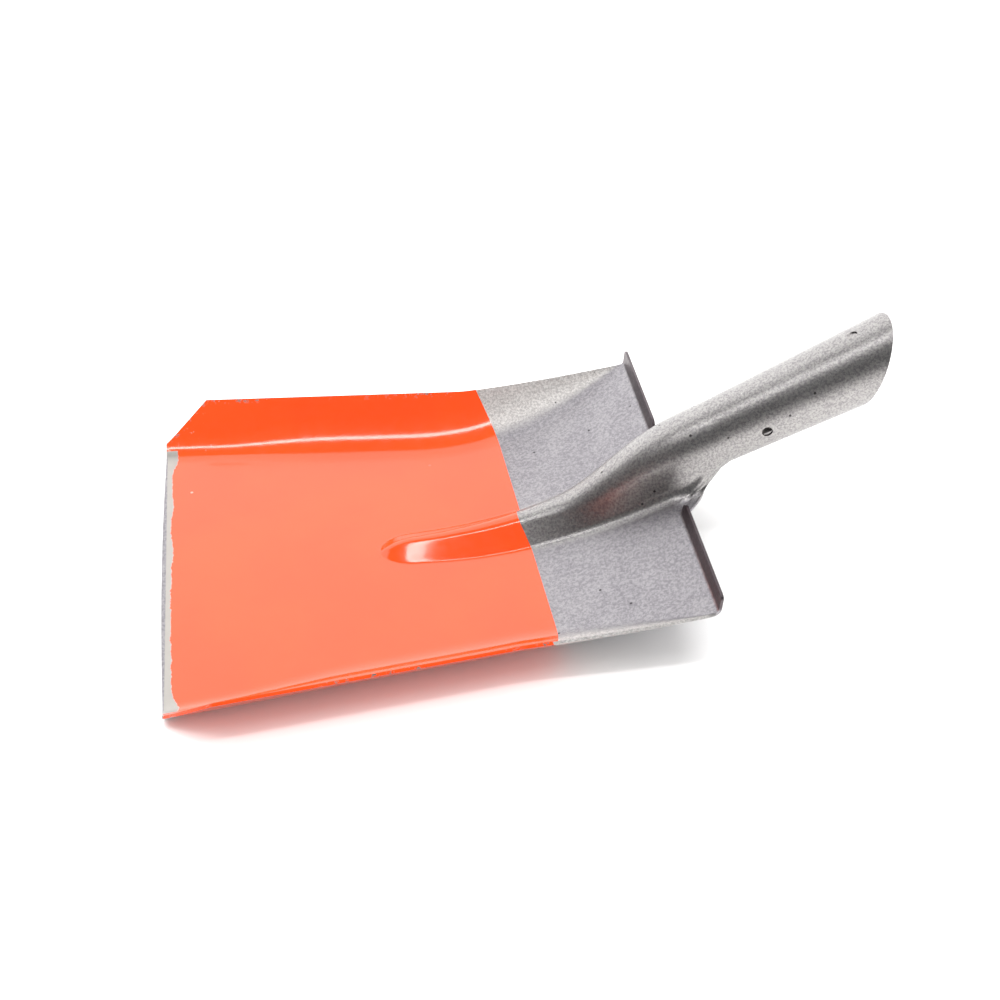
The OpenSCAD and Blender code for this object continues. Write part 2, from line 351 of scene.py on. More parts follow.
    def ridge_r(self, u: float) -> float:
        """Radius of the crest at u."""
        k = clamp01((u - self.nose_at) / (self.blade_len - self.nose_at)) ** 1.5
        return self.nose_r + (self.socket_root_r + self.rear_r_past - self.nose_r) * k

    def foot_r(self, u: float) -> float:
        """Radius of the ridge's foot at u."""
        return self.foot_r_least + self.foot_r_more * smooth(*self.foot_r_span, u)

    def flank_angle(self, u: float) -> float:
        """Slope of the ridge's flank at u, in radians."""
        b, h, q = self.ridge_half(u), self.ridge_h(u), self.ridge_r(u) + self.foot_r(u)
        return math.atan2(h - q, b) + math.asin(min(1.0, q / math.hypot(b, h - q)))

    def grid_half(self, u: float) -> float:
        """Half width of the band that holds the ridge at u."""
        return max(self.ridge_half(u) + self.grid_past, self.grid_least)

    def ridge_yz(self, u: float, q: float) -> tuple[float, float]:
        """Give the ridge's section at u.

        Args:
            u: Distance from the cutting edge.
            q: Place on the section, from the crest (0) to beside the foot (1).

        Returns:
            Distance from the middle and height above the floor.
        """
        if u <= self.nose_at + 0.01:
            return self.grid_half(u) * q, 0.0
        a, r, h, b = self.flank_angle(u), self.ridge_r(u), self.ridge_h(u), self.ridge_half(u)
        foot = self.foot_r(u)
        if q <= self.q_top:
            g = a * q / self.q_top
            return r * math.sin(g), h - r * (1 - math.cos(g))
        if q <= self.q_flank:
            k = (q - self.q_top) / (self.q_flank - self.q_top)
            y1, z1 = r * math.sin(a), h - r * (1 - math.cos(a))
            y2, z2 = b - foot * math.sin(a), foot * (1 - math.cos(a))
            return y1 + (y2 - y1) * k, z1 + (z2 - z1) * k
        if q <= self.q_foot:
            g = a * (self.q_foot - q) / (self.q_foot - self.q_flank)
            return b - foot * math.sin(g), foot * (1 - math.cos(g))
        return b + (self.grid_half(u) - b) * (q - self.q_foot) / (1 - self.q_foot), 0.0

    def surface(self, u: float, w: float) -> Vector:
        """Give a point on the upper face of the blade.

        Args:
            u: Distance from the cutting edge.
            w: Place across the blade, negative on the right side.

        Returns:
            The point in millimetres, in the frame of the part.
        """
        side, q = (-1.0 if w < 0 else 1.0), abs(w)
        floor = self.floor_z(u)
        if q <= 1:
            y, rise = self.ridge_yz(u, q)
        else:
            foot = self.bend_y(u) - self.bend_m(u)
            if q <= 2:
                y, rise = self.grid_half(u) + (foot - self.grid_half(u)) * (q - 1), 0.0
            else:
                y = foot + (self.top_y(u) - foot) * (q - 2)
                rise = self.wall_rise(u, y)
        bow = (self.mouth_bow * max(0.0, 1 - u / self.mouth_bow_len)
               * (1 - min(1.0, y / self.rear_half) ** 2))
        sheared = clamp01((u - self.end_shear_from) / (self.blade_len - self.end_shear_from))
        lean = self.end_shear * sheared * rise if q < 1 else 0.0
        return Vector((u - bow - lean, side * y, floor + rise)) + self.shift

    def socket_r(self, s: float) -> float:
        """Outer radius of the socket at s along its axis."""
        return self.socket_root_r + self.socket_taper * s

    def socket_point(self, s: float, angle: float, depth: float = 0.0) -> Vector:
        """Give a point on the socket.

        Args:
            s: Distance along the axis from the rear fold.
            angle: Angle from the top, in radians, positive to the left.
            depth: Distance under the outer face.

        Returns:
            The point in millimetres, in the frame of the part.
        """
        out = self.up_dir * math.cos(angle) + Vector((0.0, math.sin(angle), 0.0))
        return self.axis_point + self.axis_dir * s + out * (self.socket_r(s) - depth)

    def socket_end(self, angle: float) -> float:
        """Distance along the axis at which the slanted end cuts the socket at an angle."""
        start = self.socket_len - self.end_rake * self.socket_r(self.socket_len) - 1.2
        rise = self.end_rake * math.cos(angle)
        return (start + rise * self.socket_root_r) / (1 - rise * self.socket_taper)


# ------------------------------------------------------------------ finishes


@dataclass
class Shader:
    """A node material that is put together step by step."""

    name: str
    material: bpy.types.Material = field(init=False)

    def __post_init__(self) -> None:
        """Start an empty node tree with its principled shader and output."""
        self.material = bpy.data.materials.new(self.name)
        self.material.use_nodes = True
        tree = self.material.node_tree
        tree.nodes.clear()
        self.nodes, self.links = tree.nodes, tree.links
        self.bsdf = self.nodes.new("ShaderNodeBsdfPrincipled")
        output = self.nodes.new("ShaderNodeOutputMaterial")
        self.links.new(self.bsdf.outputs["BSDF"], output.inputs["Surface"])
        self.place = self.nodes.new("ShaderNodeTexCoord").outputs["Object"]

    def noise(self, scale: float, detail: float = 2.0, rough: float = 0.5) -> Socket:
        """Add a noise pattern.

        Args:
            scale: Number of its coarsest cells to a metre.
            detail: Number of finer layers.
            rough: Strength of each layer next to the one before.

        Returns:
            Its value, around 0.5.
        """
        node = self.nodes.new("ShaderNodeTexNoise")
        node.inputs["Scale"].default_value = scale
        node.inputs["Detail"].default_value = detail
        node.inputs["Roughness"].default_value = rough
        self.links.new(self.place, node.inputs["Vector"])
        return node.outputs["Fac"]

    def dots(self, scale: float, rare: float, size: float) -> Socket:
        """Add small lone dots.

        Args:
            scale: Number of cells to a metre.
            rare: Share of the cells that have no dot.
            size: Radius of a dot, as a share of its cell.

        Returns:
            1 in the dots and 0 beside them.
        """
        node = self.nodes.new("ShaderNodeTexVoronoi")
        node.inputs["Scale"].default_value = scale
        self.links.new(self.place, node.inputs["Vector"])
        lone = self.math("GREATER_THAN", self.red(node.outputs["Color"]), rare)
        near = self.ramp(node.outputs["Distance"], size, size * 1.5, 1.0, 0.0)
        return self.math("MULTIPLY", lone, near)

    def attribute(self, name: str) -> Socket:
        """Read one of the piece's own attributes.

        Args:
            name: Name of the attribute.

        Returns:
            Its value.
        """
        node = self.nodes.new("ShaderNodeAttribute")
        node.attribute_name = name
        return node.outputs["Fac"]

    def math(self, operation: str, a: Socket | float, b: Socket | float = 0.0) -> Socket:
        """Do a sum.

        Args:
            operation: Name of the operation.
            a: First value.
            b: Second value.

        Returns:
            The result.
        """
        node = self.nodes.new("ShaderNodeMath")
        node.operation = operation
        for socket, value in zip(node.inputs, (a, b)):
            if isinstance(value, (int, float)):
                socket.default_value = value
            else:
                self.links.new(value, socket)
        return node.outputs[0]

    def ramp(self, value: Socket, low: float, high: float,
             to_low: float = 0.0, to_high: float = 1.0) -> Socket:
        """Map a range smoothly onto another one.

        Args:
            value: The value to map.
            low: Start of its range.
            high: End of its range.
            to_low: What low becomes.
            to_high: What high becomes.

        Returns:
            The mapped value.
        """
        node = self.nodes.new("ShaderNodeMapRange")
        node.interpolation_type = "SMOOTHSTEP"
        self.links.new(value, node.inputs["Value"])
        limits = {"From Min": low, "From Max": high, "To Min": to_low, "To Max": to_high}
        for key, number in limits.items():
            node.inputs[key].default_value = number
        return node.outputs["Result"]

    def blend(self, share: Socket, a: Socket | Colour, b: Socket | Colour) -> Socket:
        """Mix two colours.

        Args:
            share: How much of the second colour there is.
            a: First colour.
            b: Second colour.

        Returns:
            The mixed colour.
        """
        node = self.nodes.new("ShaderNodeMix")
        node.data_type = "RGBA"
        colours = [s for s in node.inputs if s.type == "RGBA"]
        self.links.new(share, node.inputs[0])
        for socket, value in zip(colours, (a, b)):
            if isinstance(value, tuple):
                socket.default_value = (*value, 1.0)
            else:
                self.links.new(value, socket)
        return [s for s in node.outputs if s.type == "RGBA"][0]

    def axis(self, name: str) -> Socket:
        """Read one coordinate of the place on the piece.

        Args:
            name: X, Y or Z.

        Returns:
            The coordinate in metres.
        """
        node = self.nodes.new("ShaderNodeSeparateXYZ")
        self.links.new(self.place, node.inputs[0])
        return node.outputs[name]

    def red(self, colour: Socket) -> Socket:
        """Take the red out of a colour.

        Args:
            colour: The colour.

        Returns:
            Its red share.
        """
        node = self.nodes.new("ShaderNodeSeparateColor")
        self.links.new(colour, node.inputs[0])
        return node.outputs[0]

    def bump(self, height: Socket, distance: float, strength: float,
             normal: Socket | None = None) -> Socket:
        """Add a bump.

        Args:
            height: Pattern of the bump, from 0 to 1.
            distance: Height of the bump in metres.
            strength: Share of it that shows.
            normal: Normal of a bump to lay this one over.

        Returns:
            The bumped normal.
        """
        node = self.nodes.new("ShaderNodeBump")
        node.inputs["Strength"].default_value = strength
        node.inputs["Distance"].default_value = distance
        self.links.new(height, node.inputs["Height"])
        if normal is not None:
            self.links.new(normal, node.inputs["Normal"])
        return node.outputs["Normal"]


@dataclass(frozen=True)
class BareSteel:
    """Pressed sheet under clear lacquer, grainy where it is drawn; heights in millimetres."""

    flat: Colour = (0.245, 0.232, 0.250)
    flat_pale: Colour = (0.375, 0.358, 0.374)
    drawn: Colour = (0.45, 0.435, 0.42)
    drawn_dark: Colour = (0.26, 0.245, 0.25)
    # Painted light: the walls are the same steel as the floor, made far paler to stand in for the light
    # that they catch.
    wall: Colour = (0.70, 0.68, 0.66)
    painted_lit_wall_dark: Colour = (0.44, 0.42, 0.41)
    # Painted shade: the turned-up step is darkened for the shade and dark reflection on its inner face.
    painted_step_shade: Colour = (0.095, 0.075, 0.083)
    fleck: Colour = (0.72, 0.70, 0.69)
    soot: Colour = (0.03, 0.025, 0.028)
    cloud_share: float = 0.07
    fleck_share: float = 0.25
    fleck_share_drawn: float = 0.4
    soot_share: float = 0.85
    rough: tuple[float, float] = (0.42, 0.50)
    rough_drawn: float = -0.08
    rough_wall: float = 0.16
    dull_wall: float = 0.3
    lacquer: float = 0.2
    lacquer_rough: float = 0.25
    grain_height: float = 0.16
    wave_height: float = 0.3

    def colour(self, s: Shader, drawn: Socket, wall: Socket) -> Socket:
        """Build the steel's colour from its regions, its mottle, pale flecks and dark specks, with
        painted light on the walls and painted shade on the step.

        Args:
            s: The shader to build in.
            drawn: How far the place belongs to the drawn ridge and socket.
            wall: How far it belongs to a side wall, which gets painted light.

        Returns:
            The colour.
        """
        grain = s.ramp(s.noise(520, 5, 0.85), 0.42, 0.58)
        mottle = s.ramp(s.noise(760, 4, 0.8), 0.40, 0.60)
        base = s.blend(grain, self.flat, self.flat_pale)
        base = s.blend(drawn, base, s.blend(mottle, self.drawn_dark, self.drawn))
        # Painted light: a much paler copy of the steel goes on the walls.
        base = s.blend(wall, base, s.blend(mottle, self.painted_lit_wall_dark, self.wall))
        # Painted shade and dark reflection laid on the step.
        base = s.blend(s.attribute("painted_step_shade"), base, self.painted_step_shade)
        cloud = s.math("MULTIPLY", s.ramp(s.noise(38, 3, 0.55), 0.45, 0.7), self.cloud_share)
        base = s.blend(cloud, base, self.fleck)
        share = s.math("ADD", self.fleck_share, s.math("MULTIPLY", drawn, self.fleck_share_drawn))
        base = s.blend(s.math("MULTIPLY", s.dots(520, 0.90, 0.10), share), base, self.fleck)
        return s.blend(s.math("MULTIPLY", s.dots(150, 0.87, 0.09), self.soot_share), base, self.soot)

    def roughness(self, s: Shader, drawn: Socket, wall: Socket) -> Socket:
        """Build the steel's roughness, smoother where it is drawn and duller on the walls.

        Args:
            s: The shader to build in.
            drawn: How far the place belongs to the drawn ridge and socket.
            wall: How far it belongs to a side wall.

        Returns:
            The roughness.
        """
        rough = s.ramp(s.noise(620, 3, 0.7), 0.3, 0.7, *self.rough)
        rough = s.math("ADD", rough, s.math("MULTIPLY", drawn, self.rough_drawn))
        return s.math("ADD", rough, s.math("MULTIPLY", wall, self.rough_wall))

    def make(self) -> bpy.types.Material:
        """Build the material.

        Returns:
            The finished material.
        """
        s = Shader("bare_steel")
        drawn, wall = s.attribute("drawn"), s.attribute("wall")
        metallic = s.math("SUBTRACT", 1.0, s.math("MULTIPLY", wall, self.dull_wall))
        s.links.new(self.colour(s, drawn, wall), s.bsdf.inputs["Base Color"])
        s.links.new(metallic, s.bsdf.inputs["Metallic"])
        s.links.new(self.roughness(s, drawn, wall), s.bsdf.inputs["Roughness"])
        s.bsdf.inputs["Coat Weight"].default_value = self.lacquer
        s.bsdf.inputs["Coat Roughness"].default_value = self.lacquer_rough
        fine = s.bump(s.noise(700, 4, 0.75), self.grain_height * MM, 0.8)
        waves = s.bump(s.noise(55, 2, 0.5), self.wave_height * MM, 0.25, fine)
        s.links.new(waves, s.bsdf.inputs["Normal"])
        return s.material


@dataclass(frozen=True)
class OrangePaint:
    """Thin glossy orange enamel, worn along the cutting edge and the rims; in millimetres."""

    form: Form
    orange: Colour = (0.80, 0.066, 0.0060)
    deep: Colour = (0.74, 0.059, 0.0052)
    dust: Colour = (0.80, 0.55, 0.46)
    metal: Colour = (0.43, 0.405, 0.375)
    rough: tuple[float, float] = (0.10, 0.16)
    rough_bare: float = 0.28
    gloss: float = 0.35
    gloss_rough: float = 0.06
    wave_height: float = 0.12
    strip: float = 3.6
    strip_wider: float = 3.6
    strip_wider_span: tuple[float, float] = (90.0, 112.0)
    strip_ragged: float = 6.0
    strip_fine: float = 2.2
    strip_blur: float = 0.15
    corner_kept: float = 30.0
    corner_span: tuple[float, float] = (113.5, 115.5)

    def make(self) -> bpy.types.Material:
        """Build the material.

        Returns:
            The finished material.
        """
        s = Shader("orange_paint")
        colour = s.blend(s.ramp(s.noise(14, 3, 0.5), 0.35, 0.68), self.deep, self.orange)
        colour = s.blend(self.smudges(s), colour, self.dust)
        bare = s.math("MAXIMUM", self.bare_strip(s), self.worn_rim(s))
        rough = s.ramp(s.noise(220, 3, 0.6), 0.3, 0.7, *self.rough)
        rough = s.math("ADD", rough, s.math("MULTIPLY", bare, self.rough_bare))
        wave = s.bump(s.noise(45, 2, 0.5), self.wave_height * MM, 0.5)
        s.links.new(s.blend(bare, colour, self.metal), s.bsdf.inputs["Base Color"])
        s.links.new(bare, s.bsdf.inputs["Metallic"])
        s.links.new(rough, s.bsdf.inputs["Roughness"])
        s.links.new(wave, s.bsdf.inputs["Normal"])
        s.links.new(wave, s.bsdf.inputs["Coat Normal"])
        s.bsdf.inputs["IOR"].default_value = 1.5
        s.bsdf.inputs["Coat Weight"].default_value = self.gloss
        s.bsdf.inputs["Coat Roughness"].default_value = self.gloss_rough
        return s.material

    def bare_strip(self, s: Shader) -> Socket:
        """Wear the paint off along the cutting edge, with a ragged line.

        Args:
            s: The shader to build in.

        Returns:
            1 on bare metal and 0 on paint.
        """
        edge = (self.strip - self.form.origin_x) * MM
        blur = self.strip_blur * MM
        across = s.math("DIVIDE", s.math("ABSOLUTE", s.axis("Y")), MM)
        ragged = self.ripple(s, s.noise(34, 4, 0.62), self.strip_ragged)
        fine = self.ripple(s, s.noise(520, 3, 0.7), self.strip_fine)
        wider = s.ramp(across, *self.strip_wider_span, 0.0, self.strip_wider * MM)
        corner = s.ramp(across, *self.corner_span, 0.0, self.corner_kept * MM)
        line = s.math("ADD", s.math("ADD", s.axis("X"), ragged), s.math("ADD", fine, corner))
        return s.ramp(s.math("SUBTRACT", line, wider), edge - blur, edge + blur, 1.0, 0.0)

    @staticmethod
    def ripple(s: Shader, pattern: Socket, height: float) -> Socket:
        """Turn a pattern into an offset in metres, to both sides, of a height in millimetres."""
        return s.math("MULTIPLY", s.math("SUBTRACT", pattern, 0.5), height * MM)

    def worn_rim(self, s: Shader) -> Socket:
        """Rub small flecks off the rims of the walls.

        Args:
            s: The shader to build in.

        Returns:
            1 in the flecks and 0 on paint.
        """
        chips = s.ramp(s.noise(300, 4, 0.7), 0.57, 0.60)
        patches = s.ramp(s.noise(26, 2, 0.5), 0.47, 0.60)
        return s.math("MULTIPLY", s.attribute("rim"), s.math("MULTIPLY", chips, patches))

    def smudges(self, s: Shader) -> Socket:
        """Lay pale dust on the paint, most of it near the mouth.

        Args:
            s: The shader to build in.

        Returns:
            How much dust there is.
        """
        near_mouth = s.ramp(s.axis("X"), -0.195, -0.12, 1.0, 0.1)
        rubbed = s.math("MULTIPLY", s.ramp(s.noise(130, 4, 0.7), 0.62, 0.74), s.attribute("wall"))
        rubbed = s.math("MULTIPLY", rubbed, s.ramp(s.axis("X"), -0.185, -0.150, 0.8, 0.0))
        lone = s.math("MULTIPLY", s.dots(70, 0.93, 0.05), 0.5)
        return s.math("MULTIPLY", s.math("MAXIMUM", rubbed, lone), near_mouth)


# ------------------------------------------------------------------ the steel sheet


@dataclass
class PressedSheet:
    """The one steel sheet of the head, from the cutting edge to the end of the socket."""

    form: Form
    ridge_cells: tuple[int, int, int, int] = (12, 5, 9, 1)
    floor_cells: int = 40
    lip_cells: int = 6
    wall_cells: int = 16
    step_cells: tuple[int, int] = (7, 4)
    step_bend_share: float = 0.6
    clip_rows: int = 16
    blade_step: float = 1.8
    nose_rows: int = 24
    nose_crowd: float = 1.5
    rear_step: float = 1.6
    collar_rows: int = 24
    socket_rows: int = 62
    curl_leave: tuple[float, float, float] = (30.0, 6.0, -4.0)
    curl_arrive: float = 24.0
    pucker_depth: float = 0.8
    merge_within: float = 0.02
    crease: float = 38.0
    drill_sides: int = 48
    cross_drill: float = 80.0
    top_drill: float = 20.0
    name: str = "pressed_sheet"

    def rows(self) -> list[float]:
        """Place the sheet's cross sections, closest together at the nose of the ridge.

        Returns:
            Their distances from the cutting edge.
        """
        f = self.form
        nose_end = f.nose_at + f.nose_len
        values = [0.0] + span(0, f.corner_clip, self.clip_rows)
        values += span(f.corner_clip, f.nose_at, round((f.nose_at - f.corner_clip) / self.blade_step))
        values += [f.nose_at + f.nose_len * (i / self.nose_rows) ** self.nose_crowd
                   for i in range(1, self.nose_rows + 1)]
        values += span(nose_end, f.blade_len, round((f.blade_len - nose_end) / self.rear_step))
        return values

    def ridge_cols(self) -> list[float]:
        """Places across half the ridge, from its crest to beside its foot."""
        f, n = self.form, self.ridge_cells
        return ([0.0] + span(0, f.q_top, n[0]) + span(f.q_top, f.q_flank, n[1])
                + span(f.q_flank, f.q_foot, n[2]) + span(f.q_foot, 1, n[3]))

    @staticmethod
    def both(half: list[float]) -> list[float]:
        """Mirror places across one half onto the other one."""
        return [-w for w in reversed(half[1:])] + half

    def blade(self) -> bpy.types.Object:
        """Press the blade: floor, ridge and side walls.

        Returns:
            The blade as an open sheet.
        """
        rows = self.rows()
        cols = self.both(self.ridge_cols() + self.floor_cols() + span(2, 3, self.wall_cells))
        return pressed_grid("blade", len(rows) - 1, len(cols) - 1,
                            lambda i, j: self.form.surface(rows[i], cols[j]) * MM)

    def lip_cols(self) -> list[float]:
        """Place the columns between the ridge's foot and the inner end of the step.

        Returns:
            Their places across the floor.
        """
        f = self.form
        foot = f.bend_y(f.blade_len) - f.bend_m(f.blade_len)
        last = 1 + (f.step_from - f.grid_half(f.blade_len)) / (foot - f.grid_half(f.blade_len))
        return span(1, last, self.lip_cells)

    def floor_cols(self) -> list[float]:
        """Places across half the floor, from the ridge's foot to the foot of the wall's bend."""
        lip = self.lip_cols()
        return lip + span(lip[-1], 2, self.floor_cells)

    def tab_share(self, w: float) -> float:
        """Tell how far out on the knuckle's root a place is.

        Args:
            w: Place across the sheet, negative on the right side.

        Returns:
            0 on the arc of the crest, and 1 at the step.
        """
        f, q = self.form, abs(w)
        if q <= 1:
            return f.lip_at * clamp01((q - f.q_top) / (1 - f.q_top))
        return f.lip_at + (1 - f.lip_at) * (q - 1) / (self.lip_cols()[-1] - 1)

    def tab_start(self, w: float) -> Vector:
        """Point of the rear edge where the socket's tab leaves the blade."""
        return self.form.surface(self.form.blade_len, w)

    def tab_leave(self, w: float, reach: float) -> Vector:
        """Give the direction in which the tab leaves the blade.

        Args:
            w: Place across the sheet, negative on the right side.
            reach: Distance from there to the closed socket.

        Returns:
            The tangent: straight on from the ridge, and curling down from its foot.
        """
        f = self.form
        ahead = (f.surface(f.blade_len, w) - f.surface(f.blade_len - 1.0, w)).normalized() * reach
        back, out, up = self.curl_leave
        curl = Vector((back, out if w > 0 else -out, up))
        return mix(ahead, curl, smooth(0.15, 1.0, self.tab_share(w)))

    def tab_angle(self, w: float) -> float:
        """Give the angle on the socket that a place across the ridge is rolled to.

        Args:
            w: Place across the sheet, negative on the right side.

        Returns:
            The angle from the top, in radians, positive to the left.
        """
        f, q = self.form, abs(w)
        split = f.flank_angle(f.blade_len)
        last = math.radians(180 - f.seam_half)
        if q <= f.q_top:
            angle = split * q / f.q_top
        else:
            angle = split + (last - split) * self.tab_share(w)
        return angle if w > 0 else -angle

    def tab_point(self, w: float, row: int) -> Vector:
        """Give a point on the rolled tab.

        Args:
            w: Place across the ridge, negative on the right side.
            row: Row of the tab, up to collar_rows on the curl and then on the socket.

        Returns:
            The point in millimetres.
        """
        f, angle = self.form, self.tab_angle(w)
        if row <= self.collar_rows:
            start, end = self.tab_start(w), f.socket_point(f.closed_from, angle)
            reach = (end - start).length
            share = smooth(0.0, 1.0, self.tab_share(w))
            arrive = f.axis_dir * (reach * (1 - share) + self.curl_arrive * share)
            t = row / self.collar_rows
            point = hermite(start, end, self.tab_leave(w, reach), arrive, t)
            return point + self.pucker(point, self.tab_share(w), t)
        along = (row - self.collar_rows) / self.socket_rows
        return f.socket_point(f.closed_from + (f.socket_end(angle) - f.closed_from) * along, angle)

    def pucker(self, point: Vector, share: float, t: float) -> Vector:
        """Give the lumps that the knuckle's sheet is gathered into.

        Args:
            point: The point on the smooth knuckle.
            share: How far out on the knuckle's root the point is, from 0 to 1.
            t: How far along the curl it is, from 0 to 1.

        Returns:
            The offset of the point.
        """
        f = self.form
        arm = point - f.axis_point
        out = (arm - f.axis_dir * arm.dot(f.axis_dir)).normalized()
        room = math.sin(math.pi * t) * smooth(0.18, 0.45, share) * (1 - 0.6 * smooth(0.85, 1.0, share))
        folds = math.sin(share * 26 + t * 5) * 0.55 + math.sin(share * 11 - t * 13 + 1.3) * 0.45
        return out * (self.pucker_depth * room * folds)

    def tab(self) -> bpy.types.Object:
        """Roll the tab behind the ridge into the socket.

        Returns:
            The tab as an open sheet.
        """
        cols = self.both(self.ridge_cols() + self.lip_cols())
        rows = self.collar_rows + self.socket_rows
        return pressed_grid("tab", rows, len(cols) - 1, lambda i, j: self.tab_point(cols[j], i) * MM)

    def step_point(self, y: float, v: float) -> Vector:
        """Give a point on the step flange.

        Args:
            y: Distance from the middle.
            v: Place up the flange, from the fold (0) over the end of its bend to its top (1).

        Returns:
            The point in millimetres, on the left side.
        """
        f = self.form
        tilt = math.atan(2 * f.rear_rise / (f.blade_len - f.rise_start))
        lean = math.radians(90 - f.step_lean)
        top = (f.step_height - rounded(y - f.rear_half + f.step_outer_r, f.step_outer_r)
               - rounded(f.step_from + f.step_inner_r - y, f.step_inner_r))
        up = top - f.step_bend * (math.cos(tilt) - math.cos(lean))
        bent = self.step_bend_share
        g = tilt + (lean - tilt) * min(1.0, v / bent)
        x0 = f.blade_len - f.step_bend * math.sin(tilt)
        z0 = f.rear_rise + f.step_bend * math.cos(tilt)
        s = up / math.sin(lean) * (v - bent) / (1 - bent) if v > bent else 0.0
        return f.shift + Vector((x0 + f.step_bend * math.sin(g) + s * math.cos(g), y,
                                 z0 - f.step_bend * math.cos(g) + s * math.sin(g)))

    def step(self, side: int) -> bpy.types.Object:
        """Turn up the step flange on one side of the socket.

        Args:
            side: 1 for the left side and -1 for the right one.

        Returns:
            The flange as an open sheet.
        """
        f, bent = self.form, self.step_bend_share
        across = self.lip_cols()[-1:] + span(self.lip_cols()[-1], 2, self.floor_cells)
        ys = [f.surface(f.blade_len, w).y for w in across + span(2, 3, self.wall_cells)][::side]
        vs = [0.0] + span(0, bent, self.step_cells[0]) + span(bent, 1, self.step_cells[1])

        def place(i: int, j: int) -> Vector:
            """Point of the flange on its own side, in metres."""
            return self.step_point(ys[j], vs[i]) * Vector((1, side, 1)) * MM

        return pressed_grid("step", len(vs) - 1, len(ys) - 1, place)

    def drill(self, sheet: bpy.types.Object, at: Vector, along: Vector, length: float) -> None:
        """Drill a fixing hole through the sheet.

        Args:
            sheet: The sheet to drill.
            at: Middle of the drill, in millimetres.
            along: Direction of the drill.
            length: Length of the drill, in millimetres.
        """
        bpy.ops.object.select_all(action="DESELECT")
        bpy.ops.mesh.primitive_cylinder_add(
            vertices=self.drill_sides, radius=self.form.hole_r * MM, depth=length * MM, location=at * MM,
            rotation=along.to_track_quat("Z", "Y").to_euler())
        drill = bpy.context.object
        settle(drill)
        cut = sheet.modifiers.new("hole", "BOOLEAN")
        cut.operation, cut.object, cut.solver = "DIFFERENCE", drill, "EXACT"
        apply_modifier(sheet, cut)
        remove(drill)

    def mark_regions(self, sheet: bpy.types.Object) -> None:
        """Note on each point how far it belongs to the drawn ridge, a wall, a rim and a step; the step's
        share carries painted shade.

        Args:
            sheet: The finished sheet.
        """
        f = self.form
        names = ("drawn", "wall", "rim", "painted_step_shade")
        for name in names:
            sheet.data.attributes.new(name, "FLOAT", "POINT")
        regions = [sheet.data.attributes[name] for name in names]
        for index, vertex in enumerate(sheet.data.vertices):
            p = vertex.co / MM - f.shift
            u, y = min(p.x, f.blade_len), abs(p.y)
            on_blade = p.x < f.blade_len + 1
            foot = f.grid_half(u) + (2 if u > f.nose_at else -9)
            drawn = 1 - smooth(foot - 6, foot, y)
            wall = smooth(f.bend_y(u) - f.bend_m(u) * 0.6, f.bend_y(u) + 2, y) if on_blade else 0.0
            rim = smooth(f.top_y(u) - 1.6, f.top_y(u) - 0.8, y) if on_blade else 0.0
            on_step = p.x > f.blade_len - 4 and y > f.step_from
            # Share of the step that painted shade darkens.
            painted_step_shade = smooth(1.0, 3.0, p.z - f.rear_rise) if on_step else 0.0
            for region, share in zip(regions, (drawn, wall, rim, painted_step_shade)):
                region.data[index].value = share

    def build(self) -> bpy.types.Object:
        """Make the whole sheet.

        Returns:
            The finished sheet, a closed solid.
        """
        f = self.form
        parts = [self.blade(), self.tab(), self.step(1), self.step(-1)]
        only_select(*parts)
        bpy.ops.object.join()
        sheet = bpy.context.object
        sheet.name = sheet.data.name = self.name
        bpy.ops.object.mode_set(mode="EDIT")
        bpy.ops.mesh.select_all(action="SELECT")
        bpy.ops.mesh.remove_doubles(threshold=self.merge_within * MM)
        bpy.ops.mesh.normals_make_consistent(inside=False)
        bpy.ops.object.mode_set(mode="OBJECT")
        self.face_up(sheet)
        wall = sheet.modifiers.new("thickness", "SOLIDIFY")
        wall.thickness, wall.offset, wall.use_even_offset = f.sheet * MM, -1.0, True
        apply_modifier(sheet, wall)
        middle = f.axis_point + f.axis_dir * f.cross_hole_at
        self.drill(sheet, middle, Vector((0, 1, 0)), self.cross_drill)
        top = f.axis_point + f.axis_dir * f.top_hole_at + f.up_dir * self.top_drill
        self.drill(sheet, top, f.up_dir, self.top_drill)
        only_select(sheet)
        bpy.ops.object.shade_smooth_by_angle(angle=math.radians(self.crease))
        self.mark_regions(sheet)
        return sheet

    @staticmethod
    def face_up(sheet: bpy.types.Object) -> None:
        """Turn the sheet over if its faces on the blade look down.

        Args:
            sheet: The open sheet.
        """
        front = [face.normal.z for face in sheet.data.polygons if face.center.x < -0.1]
        if sum(front) < 0:
            only_select(sheet)
            bpy.ops.object.mode_set(mode="EDIT")
            bpy.ops.mesh.select_all(action="SELECT")
            bpy.ops.mesh.flip_normals()
            bpy.ops.object.mode_set(mode="OBJECT")


# ------------------------------------------------------------------ the paint


